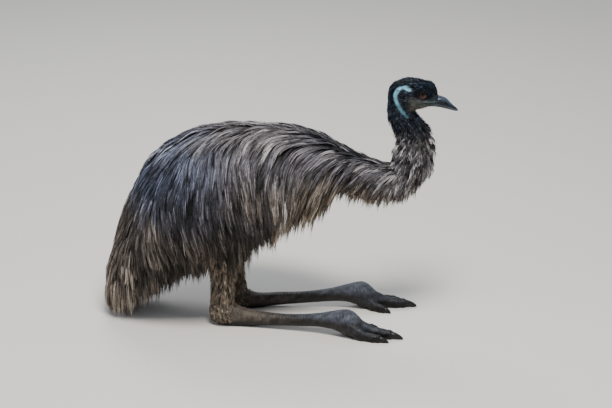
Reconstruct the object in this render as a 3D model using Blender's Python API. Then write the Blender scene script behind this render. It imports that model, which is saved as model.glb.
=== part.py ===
"""A seated emu, life size, as separate solids out to the tips of its plumage.

Metres, +Z up, +X towards the bill and +Y the bird's left. The origin is on the floor, under
the middle of the bird. It rests on its hocks, its toes and the hanging tail plumage.
"""

import math
from collections import namedtuple

import bmesh
import bpy
import numpy as np
from mathutils import Matrix, Vector

# Driving dimensions
FLOOR = 0.0
PART_GAP = 0.0004
BODY_SIDES = 26
LEG_SIDES = 16
TOE_SIDES = 12
BILL_SIDES = 12
RINGS_PER_SPAN = 2

# The whole body is a row of upright or tilted sections. Each runs from a point on the upper
# outline to one on the lower outline, and is widest a share of the way down.
Station = namedtuple("Station", "top_x top_z bottom_x bottom_z half_width widest")
BODY = [
    Station(-0.474, 0.006, -0.460, -0.004, 0.018, 0.50),
    Station(-0.480, 0.024, -0.428, -0.003, 0.052, 0.50),
    Station(-0.483, 0.078, -0.378, 0.040, 0.096, 0.54),
    Station(-0.472, 0.150, -0.314, 0.080, 0.130, 0.56),
    Station(-0.443, 0.251, -0.244, 0.113, 0.158, 0.58),
    Station(-0.403, 0.360, -0.184, 0.134, 0.176, 0.59),
    Station(-0.344, 0.460, -0.130, 0.152, 0.188, 0.60),
    Station(-0.245, 0.532, -0.082, 0.183, 0.192, 0.60),
    Station(-0.133, 0.562, -0.034, 0.217, 0.188, 0.59),
    Station(-0.020, 0.564, 0.020, 0.241, 0.172, 0.57),
    Station(0.062, 0.556, 0.076, 0.273, 0.147, 0.55),
    Station(0.130, 0.534, 0.139, 0.312, 0.114, 0.53),
    Station(0.192, 0.502, 0.186, 0.366, 0.078, 0.50),
    Station(0.246, 0.479, 0.238, 0.362, 0.062, 0.50),
    Station(0.286, 0.466, 0.296, 0.359, 0.055, 0.50),
    Station(0.308, 0.464, 0.356, 0.374, 0.053, 0.50),
    Station(0.312, 0.467, 0.392, 0.404, 0.051, 0.50),
    Station(0.313, 0.476, 0.414, 0.446, 0.050, 0.50),
    Station(0.317, 0.497, 0.423, 0.492, 0.047, 0.50),
    Station(0.324, 0.521, 0.418, 0.527, 0.043, 0.50),
    Station(0.326, 0.543, 0.408, 0.555, 0.040, 0.50),
    Station(0.318, 0.566, 0.396, 0.577, 0.037, 0.50),
    Station(0.306, 0.588, 0.380, 0.597, 0.035, 0.50),
    Station(0.299, 0.612, 0.373, 0.611, 0.034, 0.50),
    Station(0.298, 0.636, 0.375, 0.617, 0.034, 0.50),
    Station(0.302, 0.666, 0.380, 0.619, 0.036, 0.50),
    Station(0.317, 0.690, 0.386, 0.620, 0.038, 0.50),
    Station(0.343, 0.703, 0.391, 0.621, 0.038, 0.50),
    Station(0.371, 0.704, 0.398, 0.623, 0.036, 0.50),
    Station(0.397, 0.698, 0.407, 0.626, 0.031, 0.52),
    Station(0.419, 0.686, 0.419, 0.629, 0.025, 0.54),
    Station(0.431, 0.670, 0.431, 0.631, 0.020, 0.54),
]
TAIL_END, TRUNK_END, NECK_LOW_END, NECK_BEND_END, NECK_END = 4, 12, 15, 19, 23
SECTION_FULLNESS = 0.46

# The bill, along X: upper edge, lower edge and half width
Slice = namedtuple("Slice", "x top bottom half_width")
BILL_UPPER = [
    Slice(0.4313, 0.6605, 0.6390, 0.0195),
    Slice(0.4450, 0.6540, 0.6362, 0.0172),
    Slice(0.4600, 0.6450, 0.6318, 0.0136),
    Slice(0.4730, 0.6345, 0.6266, 0.0100),
    Slice(0.4810, 0.6275, 0.6215, 0.0068),
    Slice(0.4845, 0.6235, 0.6190, 0.0034),
]
BILL_LOWER = [
    Slice(0.4313, 0.6384, 0.6305, 0.0176),
    Slice(0.4450, 0.6356, 0.6270, 0.0152),
    Slice(0.4600, 0.6312, 0.6226, 0.0118),
    Slice(0.4720, 0.6264, 0.6192, 0.0084),
    Slice(0.4795, 0.6218, 0.6176, 0.0048),
]

EYE_RADIUS = 0.0125
EYE_CENTRE = (0.3925, 0.0245, 0.6665)
EAR_SIZE = (0.0065, 0.0040, 0.0085)
EAR_CENTRE = (0.340, 0.0365, 0.6560)
WING_SIZE = (0.095, 0.030, 0.042)
WING_CENTRE = (0.016, 0.163, 0.388)
WING_LEAN = math.radians(62)

# Each leg lies along its own line on the floor, from the back of the hock to the toes. The
# side is 1 for the left leg and -1 for the right one. The left leg is a little lower just in
# front of the hock, by the dip.
Leg = namedtuple("Leg", "word side hock_x hock_y splay dip")
LEGS = [
    Leg("left", 1, -0.156, 0.042, math.radians(8.2), 0.010),
    Leg("right", -1, -0.1755, -0.064, math.radians(5.3), 0.0),
]
DIP_PLACE = 0.090
DIP_REACH = 0.045
Tube = namedtuple("Tube", "along top bottom half_width")
# The scaled lower leg, from the back of the hock to the ball of the foot
TARSUS = [
    Tube(0.000, 0.046, 0.030, 0.009),
    Tube(0.006, 0.060, 0.012, 0.020),
    Tube(0.018, 0.068, 0.000, 0.026),
    Tube(0.036, 0.069, -0.005, 0.029),
    Tube(0.062, 0.060, -0.005, 0.026),
    Tube(0.092, 0.051, -0.002, 0.021),
    Tube(0.140, 0.044, 0.005, 0.0175),
    Tube(0.210, 0.043, 0.011, 0.0155),
    Tube(0.265, 0.048, 0.015, 0.016),
    Tube(0.310, 0.056, 0.018, 0.019),
    Tube(0.345, 0.065, 0.016, 0.024),
    Tube(0.368, 0.0705, 0.009, 0.029),
    Tube(0.386, 0.072, 0.000, 0.032),
    Tube(0.400, 0.067, -0.005, 0.032),
    Tube(0.413, 0.056, -0.005, 0.030),
    Tube(0.425, 0.043, -0.003, 0.025),
    Tube(0.434, 0.028, 0.003, 0.014),
]
# The toes leave the ball of the foot: sizes for the middle one, which the others scale
TOE = [
    Tube(0.000, 0.060, 0.018, 0.013),
    Tube(0.022, 0.050, 0.006, 0.0145),
    Tube(0.046, 0.0375, -0.004, 0.0150),
    Tube(0.068, 0.0280, -0.004, 0.0135),
    Tube(0.090, 0.0250, -0.005, 0.0140),
    Tube(0.107, 0.0235, -0.003, 0.0125),
    Tube(0.114, 0.0205, 0.002, 0.0095),
]
CLAW = [
    Tube(0.1143, 0.0190, 0.0030, 0.0078),
    Tube(0.124, 0.0175, 0.0015, 0.0068),
    Tube(0.135, 0.0125, 0.0005, 0.0046),
    Tube(0.143, 0.0065, 0.0008, 0.0020),
]
TOE_ROOT = 0.394
Toe = namedtuple("Toe", "name across turn length height")
TOES = [
    Toe("middle", 0.002, 1.0, 1.00, 1.00),
    Toe("inner", 0.018, 26.0, 0.54, 0.82),
    Toe("outer", -0.0225, -2.5, 0.77, 0.84),
]
# The feathered shank stands on the hock: height, its place along the leg, half depth, half width
Shank = namedtuple("Shank", "z along half_depth half_width")
SHANK = [
    Shank(0.030, 0.034, 0.024, 0.022),
    Shank(0.060, 0.035, 0.031, 0.028),
    Shank(0.095, 0.037, 0.032, 0.029),
    Shank(0.140, 0.040, 0.036, 0.033),
    Shank(0.190, 0.046, 0.048, 0.043),
    Shank(0.240, 0.052, 0.060, 0.052),
]

# Colours and surface of each material: base colour, roughness
FINISHES = {
    "plumage": ((0.105, 0.090, 0.082), 0.75),
    "head_down": ((0.020, 0.020, 0.024), 0.65),
    "bill_horn": ((0.030, 0.032, 0.038), 0.35),
    "leg_scales": ((0.075, 0.068, 0.066), 0.55),
    "claw_horn": ((0.020, 0.018, 0.018), 0.40),
    "eye_gloss": ((0.060, 0.018, 0.008), 0.08),
    "bare_skin": ((0.120, 0.300, 0.380), 0.50),
}

for old in list(bpy.data.objects):
    bpy.data.objects.remove(old, do_unlink=True)
parts = bpy.data.collections.new("emu")
cutters = bpy.data.collections.new("cutters")
for folder in (parts, cutters):
    bpy.context.scene.collection.children.link(folder)
cutters.hide_render = True


def make_material(name):
    """One Principled material from the table of finishes."""
    colour, roughness = FINISHES[name]
    material = bpy.data.materials.new(name)
    material.use_nodes = True
    shader = material.node_tree.nodes["Principled BSDF"]
    shader.inputs["Base Color"].default_value = (*colour, 1.0)
    shader.inputs["Roughness"].default_value = roughness
    shader.inputs["Metallic"].default_value = 0.0
    return material


materials = {name: make_material(name) for name in FINISHES}


def smooth_rows(rows, per_span):
    """A Catmull-Rom curve through every row of numbers, with per_span steps between rows."""
    points = np.array([tuple(row) for row in rows], float)
    before = 2 * points[:1] - points[1:2]
    after = 2 * points[-1:] - points[-2:-1]
    padded = np.vstack([before, points, after])
    found = []
    for i in range(len(points) - 1):
        a, b, c, d = padded[i : i + 4]
        for step in range(per_span):
            t = step / per_span
            found.append(
                0.5 * (2 * b + (c - a) * t + (2 * a - 5 * b + 4 * c - d) * t * t
                       + (3 * b - a - 3 * c + d) * t**3)
            )
    found.append(points[-1])
    return np.array(found)


def ring_of(top, bottom, half_width, widest, sides):
    """A closed section from its top point to its bottom one, in the plane that holds both and Y."""
    angle = np.linspace(0, 2 * math.pi, sides, endpoint=False)
    down = (1 - np.cos(angle)) / 2
    bulge = down ** (math.log(0.5) / math.log(widest))
    width = half_width * (4 * bulge * (1 - bulge)) ** SECTION_FULLNESS * np.sign(np.sin(angle))
    width[np.abs(np.sin(angle)) < 1e-9] = 0.0
    ring = np.outer(1 - down, top) + np.outer(down, bottom)
    ring[:, 1] += width
    return ring


def mesh_from_rings(name, rings, material, home=parts):
    """A closed solid through a row of rings, with a flat face at each end."""
    count, sides = len(rings), len(rings[0])
    corners = np.concatenate(rings)
    corners[:, 2] = np.maximum(corners[:, 2], FLOOR)
    skin = bmesh.new()
    made = [skin.verts.new(corner) for corner in corners]
    for i in range(count - 1):
        for j in range(sides):
            k = (j + 1) % sides
            skin.faces.new(
                [made[i * sides + j], made[i * sides + k],
                 made[(i + 1) * sides + k], made[(i + 1) * sides + j]]
            )
    skin.faces.new(made[:sides])
    skin.faces.new(made[-sides:])
    bmesh.ops.recalc_face_normals(skin, faces=skin.faces)
    mesh = bpy.data.meshes.new(name)
    skin.to_mesh(mesh)
    skin.free()
    mesh.materials.append(materials[material])
    mesh.shade_smooth()
    mesh.set_sharp_from_angle(angle=math.radians(50))
    solid = bpy.data.objects.new(name, mesh)
    home.objects.link(solid)
    if home is cutters:
        solid.display_type = "WIRE"
        solid.hide_render = True
    return solid


def moved_along_normal(ring, distance):
    """The ring, shifted square to its own plane. The plane's normal points towards the bill."""
    spread = ring - ring.mean(axis=0)
    chord = spread[0] - spread[len(ring) // 2]
    normal = np.cross([0.0, 1.0, 0.0], chord)
    return ring + distance * normal / np.linalg.norm(normal)


def body_part(name, first, last, material, home=parts):
    """The body between two stations, kept half a gap clear of the parts before and after it."""
    rings = [
        ring_of(np.array([row[0], 0, row[1]]), np.array([row[2], 0, row[3]]),
                row[4], row[5], BODY_SIDES)
        for row in smooth_rows(BODY, RINGS_PER_SPAN)
    ]
    chosen = rings[first * RINGS_PER_SPAN : last * RINGS_PER_SPAN + 1]
    if first > 0:
        chosen[0] = moved_along_normal(chosen[0], PART_GAP / 2)
    if last < len(BODY) - 1:
        chosen[-1] = moved_along_normal(chosen[-1], -PART_GAP / 2)
    return mesh_from_rings(name, chosen, material, home)


def swollen(solid):
    """A hidden copy of a solid, larger by the gap all round, to cut what meets it."""
    cutter = bpy.data.objects.new(solid.name + "_cutter", solid.data.copy())
    cutters.objects.link(cutter)
    cutter.display_type = "WIRE"
    cutter.hide_render = True
    swell = cutter.modifiers.new("Swell", "DISPLACE")
    swell.mid_level = 0.0
    swell.strength = PART_GAP
    return cutter


def boolean(solid, other, operation):
    """Joins, cuts or keeps the shared volume of two solids."""
    modifier = solid.modifiers.new(operation.title() + "_" + other.name, "BOOLEAN")
    modifier.operation = operation
    modifier.solver = "EXACT"
    modifier.object = other


def ellipsoid(name, centre, size, turn, home):
    """An ellipsoid of three half sizes, turned about Y."""
    skin = bmesh.new()
    bmesh.ops.create_uvsphere(skin, u_segments=14, v_segments=9, radius=1.0)
    stretch = Matrix.Diagonal((*size, 1.0))
    place = Matrix.Translation(centre) @ Matrix.Rotation(turn, 4, "Y") @ stretch
    bmesh.ops.transform(skin, matrix=place, verts=skin.verts)
    mesh = bpy.data.meshes.new(name)
    skin.to_mesh(mesh)
    skin.free()
    mesh.shade_smooth()
    solid = bpy.data.objects.new(name, mesh)
    home.objects.link(solid)
    if home is cutters:
        solid.display_type = "WIRE"
        solid.hide_render = True
    return solid


def parted_patch(name, carrier, centre, size, turn, material):
    """A shallow piece of the carrier's surface, parted from it with a thin cut all round."""
    grown = [length + PART_GAP for length in size]
    outer = ellipsoid(name + "_outline", centre, grown, turn, cutters)
    inner = ellipsoid(name + "_shape", centre, size, turn, cutters)
    patch = bpy.data.objects.new(name, carrier.data.copy())
    patch.data.materials[0] = materials[material]
    parts.objects.link(patch)
    boolean(patch, inner, "INTERSECT")
    boolean(carrier, outer, "DIFFERENCE")
    return patch


def on_side(side, point):
    """A point given for the left side, on the side asked for: 1 is left and -1 is right."""
    return (point[0], side * point[1], point[2])


def leg_frame(leg):
    """The leg's own frame: X along it from the back of the hock, Y to its inner side, on the floor."""
    place = Matrix.Translation((leg.hock_x, leg.hock_y, FLOOR))
    splay = Matrix.Rotation(leg.side * leg.splay, 4, "Z")
    return place @ splay @ Matrix.Diagonal((1.0, -leg.side, 1.0, 1.0))


def placed(ring, frame):
    """The ring's points carried from a frame into the world."""
    return np.array([frame @ Vector(point) for point in ring])


def tube_rings(table, frame, sides, per_span=1):
    """Upright rings along X for rows of distance, top, bottom and half width."""
    return [
        placed(ring_of(np.array([row[0], 0, row[1]]), np.array([row[0], 0, row[2]]),
                       row[3], 0.5, sides), frame)
        for row in smooth_rows(table, per_span)
    ]


def build_body():
    """Tail, trunk, neck and head, with the wings, eyes and ears set into them."""
    body_part("tail", 0, TAIL_END, "plumage")
    trunk = body_part("trunk", TAIL_END, TRUNK_END, "plumage")
    body_part("neck_lower", TRUNK_END, NECK_LOW_END, "plumage")
    body_part("neck_bend", NECK_LOW_END, NECK_BEND_END, "plumage")
    body_part("neck_upper", NECK_BEND_END, NECK_END, "head_down")
    head = body_part("head", NECK_END, len(BODY) - 1, "head_down")
    for word, side in (("left", 1), ("right", -1)):
        parted_patch("wing_" + word, trunk, on_side(side, WING_CENTRE), WING_SIZE,
                     WING_LEAN, "plumage")
        parted_patch("ear_" + word, head, on_side(side, EAR_CENTRE), EAR_SIZE, 0.0,
                     "bare_skin")
        eye = ellipsoid("eye_" + word, on_side(side, EYE_CENTRE), [EYE_RADIUS] * 3, 0.0, parts)
        eye.data.materials.append(materials["eye_gloss"])
        boolean(head, swollen(eye), "DIFFERENCE")
    return trunk


def build_bill():
    """The two halves of the bill, closed, with a thin gape between them."""
    for name, table in (("bill_upper", BILL_UPPER), ("bill_lower", BILL_LOWER)):
        rings = tube_rings(table, Matrix.Identity(4), BILL_SIDES)
        mesh_from_rings(name, rings, "bill_horn")


def build_toe(toe, word, frame, blocks):
    """One toe and its claw. The toe is cut back from what it grows out of."""
    root = Matrix.Translation((TOE_ROOT, toe.across, 0.0))
    turn = Matrix.Rotation(math.radians(toe.turn), 4, "Z")
    scale = Matrix.Diagonal((toe.length, toe.height, toe.height, 1.0))
    own = frame @ root @ turn @ scale
    solid = mesh_from_rings(f"toe_{toe.name}_{word}", tube_rings(TOE, own, TOE_SIDES),
                            "leg_scales")
    for block in blocks:
        boolean(solid, block, "DIFFERENCE")
    mesh_from_rings(f"claw_{toe.name}_{word}", tube_rings(CLAW, own, TOE_SIDES), "claw_horn")
    return solid


def build_leg(leg, trunk_cutter):
    """One leg: the feathered shank, the scaled tarsus from hock to ball, and three toes."""
    word, frame = leg.word, leg_frame(leg)
    rows = [row._replace(top=row.top - leg.dip * math.exp(
        -((row.along - DIP_PLACE) / DIP_REACH) ** 2)) for row in TARSUS]
    tarsus = mesh_from_rings("tarsus_" + word, tube_rings(rows, frame, LEG_SIDES), "leg_scales")
    rings = []
    for z, along, half_depth, half_width in smooth_rows(SHANK, 1):
        front = np.array([along + half_depth, 0, z])
        back = np.array([along - half_depth, 0, z])
        rings.append(placed(ring_of(front, back, half_width, 0.5, LEG_SIDES), frame))
    shank = mesh_from_rings("shank_" + word, rings, "plumage")
    boolean(shank, trunk_cutter, "DIFFERENCE")
    tarsus_cutter = swollen(tarsus)
    boolean(shank, tarsus_cutter, "DIFFERENCE")
    middle = build_toe(TOES[0], word, frame, [tarsus_cutter])
    middle_cutter = swollen(middle)
    for toe in TOES[1:]:
        build_toe(toe, word, frame, [tarsus_cutter, middle_cutter])


trunk_solid = build_body()
trunk_block = swollen(trunk_solid)
build_bill()
for one_leg in LEGS:
    build_leg(one_leg, trunk_block)
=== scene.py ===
"""The looks of a sitting emu: its skin, bill, eyes, claws, scales and long hair-like plumage."""

import math

import bpy
import numpy as np
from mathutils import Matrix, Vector


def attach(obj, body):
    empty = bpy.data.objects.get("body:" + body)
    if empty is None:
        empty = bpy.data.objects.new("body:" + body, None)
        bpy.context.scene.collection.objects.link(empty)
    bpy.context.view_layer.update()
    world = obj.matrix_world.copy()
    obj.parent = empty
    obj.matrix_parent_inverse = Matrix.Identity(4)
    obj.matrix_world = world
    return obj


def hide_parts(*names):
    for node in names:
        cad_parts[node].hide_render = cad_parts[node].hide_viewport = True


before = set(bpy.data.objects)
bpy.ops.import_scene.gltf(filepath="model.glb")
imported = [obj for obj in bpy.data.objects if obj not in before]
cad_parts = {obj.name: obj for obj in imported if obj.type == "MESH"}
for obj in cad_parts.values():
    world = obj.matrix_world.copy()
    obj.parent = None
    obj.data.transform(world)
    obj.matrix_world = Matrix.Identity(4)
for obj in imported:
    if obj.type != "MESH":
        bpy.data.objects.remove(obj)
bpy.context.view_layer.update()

# THE BODY'S FORM
# Under the plumage the bird is one soft bag of skin from the rump to the bill. It is described
# here as tilted sections, each with the depth of plumage above, beside and below it.

# Columns, in millimetres: top x and z, bottom x and z, half width, thousandths of the way down
# to the widest place, depth of plumage on top, at the sides and below
BODY = np.array([
    [-474, 6, -460, -4, 18, 500, 4, 8, 4], [-480, 24, -428, -3, 52, 500, 16, 28, 16],
    [-483, 78, -378, 40, 96, 540, 24, 34, 30], [-472, 150, -314, 80, 130, 560, 26, 34, 40],
    [-443, 251, -244, 113, 158, 580, 26, 34, 48], [-403, 360, -184, 134, 176, 590, 24, 32, 52],
    [-344, 460, -130, 152, 188, 600, 22, 31, 56], [-245, 532, -82, 183, 192, 600, 20, 30, 58],
    [-133, 562, -34, 217, 188, 590, 20, 30, 58], [-20, 564, 20, 241, 172, 570, 20, 28, 54],
    [62, 556, 76, 273, 147, 550, 18, 26, 50], [130, 534, 139, 312, 114, 530, 16, 23, 46],
    [192, 502, 186, 366, 78, 500, 14, 20, 38], [246, 479, 238, 362, 62, 500, 12, 18, 36],
    [286, 466, 296, 359, 55, 500, 11, 16, 34], [308, 464, 356, 374, 53, 500, 10, 15, 28],
    [312, 467, 392, 404, 51, 500, 9, 14, 22], [313, 476, 414, 446, 50, 500, 8, 13, 16],
    [317, 497, 423, 492, 47, 500, 7, 11, 13], [324, 521, 418, 527, 43, 500, 6, 9, 10],
    [326, 543, 408, 555, 40, 500, 5, 7, 8], [318, 566, 396, 577, 37, 500, 5, 5, 5],
    [306, 588, 380, 597, 35, 500, 5, 4, 3], [299, 612, 373, 611, 34, 500, 6, 3, 2],
    [298, 636, 375, 617, 34, 500, 7, 3, 2], [302, 666, 380, 619, 36, 500, 8, 3, 2],
    [317, 690, 386, 620, 38, 500, 9, 3, 2], [343, 703, 391, 621, 38, 500, 10, 4, 2],
    [371, 704, 398, 623, 36, 500, 10, 4, 2], [397, 698, 407, 626, 31, 520, 9, 4, 2],
    [419, 686, 419, 629, 25, 540, 7, 4, 2], [431, 664, 431, 631, 18.7, 540, 4, 2, 2],
    [438, 656, 438, 634, 14, 550, 1, 1, 0], [447, 649, 447, 635, 9, 550, 1, 1, 0],
]) / 1000
# The last place, at the bill, and the place where the head begins
LAST, HEAD_FROM = len(BODY) - 1.0, 22.0
# Power that rounds a section: 0.5 makes an ellipse, and less makes fuller sides
FULL_SIDES = 0.46
# Soft forms of the head from the side, in millimetres: x, z, half length, half height, and how
# far the form stands out (less than 0 is a hollow)
HEAD_FORMS = np.array([
    [392.5, 667.5, 12.5, 10.5, -1.8], [392.5, 683.5, 19, 5.5, 3], [390, 651.5, 17, 4, 1.4],
    [419, 663, 10, 8, -2.6], [343.5, 659, 7.8, 11, -5.2], [343.5, 659, 15, 19, 2.2],
    [364, 638, 20, 8, 2.2], [413, 647, 20, 2, 1.8], [412, 642.8, 21, 1.2, -2],
    [408, 638, 20, 2.2, 1], [362, 682, 16, 7, 1.2],
]) / 1000


def unit(vectors):
    """Vectors of length 1 along the last axis."""
    return vectors / np.maximum(np.linalg.norm(vectors, axis=-1), 1e-12)[..., None]


def bell(*offsets):
    """A bell curve: e to the power of minus the sum of the squared offsets."""
    return np.exp(-sum(offset**2 for offset in offsets))


def through_rows(table, first, share):
    """Rows a share of the way past each first row: a Catmull-Rom curve through four rows."""
    padded = np.vstack([2 * table[:1] - table[1:2], table, 2 * table[-1:] - table[-2:-1]])
    a, b, c, d = (padded[first + k] for k in range(4))
    t = share[:, None]
    return 0.5 * (2 * b + (c - a) * t + (2 * a - 5 * b + 4 * c - d) * t**2
                  + (3 * b - a - 3 * c + d) * t**3)


def head_relief(x, z):
    """Outward height of the head's soft forms: a sum of bell curves over the side of the head."""
    form_x, form_z, long, tall, high = HEAD_FORMS.T
    return (high * bell((x[:, None] - form_x) / long, (z[:, None] - form_z) / tall)).sum(axis=1)


def body_point(place, turn, level):
    """Points of the body at a place from tail to bill and a turn from the spine to the left.

    With down = (1 - cos turn) / 2, the point lies that share of the way from the section's top
    to its bottom, and half a width times (4 b (1 - b)) to the power 0.46 to the side, where b is
    down raised so that the widest place has b = 1/2. Level 0 is the skin, and level 1 the
    outside of the plumage.
    """
    first = np.clip(np.floor(place).astype(int), 0, len(BODY) - 2)
    row = through_rows(BODY, first, place - first)
    top, bottom = row[:, 0:2], row[:, 2:4]
    half, widest, over, beside, below = row[:, 4:].T
    inward = unit(bottom - top)
    deep = 1.0 - level
    top = top + inward * (over * deep)[:, None]
    bottom = bottom - inward * (below * deep)[:, None]
    down = (1 - np.cos(turn)) / 2
    bulge = np.clip(down, 0, 1) ** (math.log(0.5) / np.log(widest))
    side = (4 * bulge * (1 - bulge)).clip(0, 1) ** FULL_SIDES
    centre = top + (bottom - top) * down[:, None]
    relief = np.where(place > HEAD_FROM, head_relief(centre[:, 0], centre[:, 1]), 0.0)
    width = np.sign(np.sin(turn)) * (side * (half - beside * deep) + relief * side**2)
    return np.stack([centre[:, 0], width, centre[:, 1]], axis=1)


# THE LEGS' FORM
# Each leg lies along its own line on the floor, from the back of the hock to the toes. The
# tables, in millimetres, give the distance along that line, the top, bottom and half width.

# Name of the leg: side, the hock's x and y, how far the line is splayed, and a dip in front
LEGS = {"left": (1, -0.156, 0.042, math.radians(8.2), 0.01),
        "right": (-1, -0.1755, -0.064, math.radians(5.3), 0.0)}
TARSUS = np.array([
    [0, 46, 30, 9], [6, 60, 12, 20], [18, 68, 0, 26], [36, 69, -5, 29], [62, 60, -5, 26],
    [92, 51, -2, 21], [140, 44, 5, 17.5], [210, 43, 11, 15.5], [265, 48, 15, 16],
    [310, 56, 18, 19], [345, 65, 16, 24], [368, 70.5, 9, 29], [386, 72, 0, 32], [400, 67, -5, 32],
    [413, 56, -5, 30], [425, 43, -3, 25], [434, 28, 3, 14],
]) / 1000
TOE = np.array([
    [0, 60, 18, 13], [22, 50, 6, 14.5], [46, 38, -4, 15], [58, 31.8, -3, 13.6],
    [68, 28.2, -4, 13], [79, 27.2, -5, 14], [90, 25.6, -5, 14.2], [99, 24, -3, 12.2],
    [108, 24, -3, 12.6], [115, 20.5, 1, 10],
]) / 1000
# How far along the line of the leg the toes begin
TOE_ROOT = 0.394
# Name of the toe: distance across, turn in degrees, length and height beside the middle one
TOES = {"middle": (0.002, 1.0, 1.0, 1.0), "inner": (0.018, 26.0, 0.54, 0.82),
        "outer": (-0.0225, -2.5, 0.77, 0.84)}
# The shank's columns, in millimetres: height, distance along the line, half length, half width
SHANK = np.array([
    [30, 34, 18, 17], [60, 35, 24, 21], [95, 37, 25, 22], [140, 40, 29, 26], [190, 46, 41, 36],
    [240, 52, 52, 44], [280, 58, 52, 44],
]) / 1000
# The height of the broad plates, and the width and height of the small scales
PLATE_HEIGHT, SCALE_SIZE, SCALE_HEIGHT = 0.0011, 0.0052, 0.00045


def smooth_table(table, at):
    """Rows at any distance, given by the first column, on a smooth curve through the rows."""
    first = np.clip(np.searchsorted(table[:, 0], at, side="right") - 1, 0, len(table) - 2)
    start, end = table[first, 0], table[first + 1, 0]
    return through_rows(table, first, (at - start) / (end - start))


def tarsus_rows(which, at):
    """Rows of a tarsus, whose top dips in front of the hock as a bell curve."""
    row = smooth_table(TARSUS, at)
    row[:, 1] -= LEGS[which][4] * bell((at - 0.09) / 0.045)
    return row


def shank_back(which, up):
    """How far a shank leans back at a height: 1.3 times the dip in front of its hock, at most."""
    return 1.3 * LEGS[which][4] * np.clip((up - 0.05) / 0.07, 0, 1)


def on_leg(which, along, across, up):
    """Points given in a leg's own directions, turned and moved to where that leg lies."""
    side, hock_x, hock_y, splay, _ = LEGS[which]
    along, across, up = np.broadcast_arrays(along, -side * across, np.maximum(up, 0.0))
    cos, sin = math.cos(splay), math.sin(side * splay)
    return np.stack([hock_x + along * cos - across * sin,
                     hock_y + along * sin + across * cos, up], axis=-1)


def on_toe(which, toe, along, across, up):
    """Points given in a toe's own directions, turned and scaled to grow from its leg."""
    shift, turn, length, height = TOES[toe]
    cos, sin = math.cos(math.radians(turn)), math.sin(math.radians(turn))
    along, across = along * length, across * height
    return on_leg(which, TOE_ROOT + along * cos - across * sin,
                  shift + along * sin + across * cos, up * height)


def scale_relief(along, turn, half, plate):
    """Height of scales on a leg or toe, in metres.

    On the upper face, broad plates step up along the toe as a sawtooth. Round the sides, three
    sets of waves 60 degrees apart add up to small six-sided scales.
    """
    face = np.clip((np.cos(turn) - 0.3) / 0.25, 0, 1)
    step = (along / plate) % 1.0
    plates = PLATE_HEIGHT * np.minimum(step / 0.82, (1 - step) / 0.18) ** 0.7
    round_it = turn * half
    waves = sum(np.cos(2 * math.pi / SCALE_SIZE * (along * math.cos(k) + round_it * math.sin(k)))
                for k in (0.3, 0.3 + math.pi / 3, 0.3 + 2 * math.pi / 3))
    return face * plates + (1 - face) * SCALE_HEIGHT * np.clip(waves / 1.5, -1, 1)


def section(half, top, bottom, turn, power):
    """Across and up for a round section: power under 0.5 makes its sides fuller."""
    across = half * np.sign(np.sin(turn)) * np.abs(np.sin(turn)) ** (2 * power)
    return across, (top + bottom) / 2 + (top - bottom) / 2 * np.cos(turn)


# THE SKIN
# One unbroken skin covers trunk, neck, head, shanks, scaled legs and toes. The forms above are
# turned into closed tubes and joined into a single mesh, so that no seam shows anywhere.
def new_mesh(name, points, faces):
    """A mesh from points and rows of three or four corners, where -1 stands for no fourth."""
    used = faces >= 0
    sizes = used.sum(axis=1)
    mesh = bpy.data.meshes.new(name)
    mesh.vertices.add(len(points))
    mesh.vertices.foreach_set("co", points.astype(np.float32).ravel())
    mesh.loops.add(int(sizes.sum()))
    mesh.loops.foreach_set("vertex_index", faces[used].astype(np.int32))
    mesh.polygons.add(len(faces))
    mesh.polygons.foreach_set("loop_start", (np.cumsum(sizes) - sizes).astype(np.int32))
    mesh.update(calc_edges=True)
    mesh.shade_smooth()
    return mesh


def full_turn(sides):
    """Even steps once round, without the last one, which would repeat the first."""
    return np.linspace(0, 2 * math.pi, sides, endpoint=False)


def lengthwise(table, count):
    """Even steps along a table's first column, as a column of their own."""
    return np.linspace(table[0, 0], table[-1, 0], count)[:, None]


def closed_tube(rings):
    """Points and faces of a closed skin through rings, drawn in to a point at both ends."""
    count, sides = rings.shape[:2]
    points = np.vstack([rings.reshape(-1, 3), rings[0].mean(axis=0), rings[-1].mean(axis=0)])
    i, j = np.meshgrid(np.arange(count - 1) * sides, np.arange(sides), indexing="ij")
    k = (j + 1) % sides
    tube = np.stack([i + j, i + sides + j, i + sides + k, i + k], axis=-1).reshape(-1, 4)
    first, last = np.full(sides, count * sides), (count - 1) * sides
    start = np.stack([first, j[0], k[0], 0 * first - 1], axis=1)
    end = np.stack([first + 1, last + k[0], last + j[0], 0 * first - 1], axis=1)
    faces = np.vstack([tube, start, end])
    a, b, c = (points[faces[:, corner]] for corner in range(3))
    if (a * np.cross(b, c)).sum() < 0:
        faces[:, [0, 2]] = faces[:, [2, 0]]
    return points, faces


def new_object(name, data):
    """An object at the origin of the scene that holds a mesh, a light or a camera."""
    made = bpy.data.objects.new(name, data)
    bpy.context.scene.collection.objects.link(made)
    return made


def new_piece(name, mesh, material, slot_name, *nodes):
    """An object that wears a material, rides the frame and stands for nodes."""
    piece = new_object(name, mesh)
    mesh.materials.append(material)
    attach(piece, "root")
    if nodes:
        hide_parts(*nodes)


def paint(mesh, name, colours, fourth=1.0):
    """Stores a colour and a fourth number at every point of a mesh, as an attribute."""
    fourth = np.broadcast_to(fourth, len(colours))[:, None]
    layer = mesh.attributes.new(name, "FLOAT_COLOR", "POINT")
    layer.data.foreach_set("color", np.hstack([colours, fourth]).astype(np.float32).ravel())


def feed(material, node, inputs):
    """Gives a node's inputs their values: numbers and colours are set, outputs are linked."""
    for socket, value in inputs.items():
        if isinstance(value, bpy.types.NodeSocket):
            material.node_tree.links.new(value, node.inputs[socket])
        else:
            node.inputs[socket].default_value = value


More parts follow.
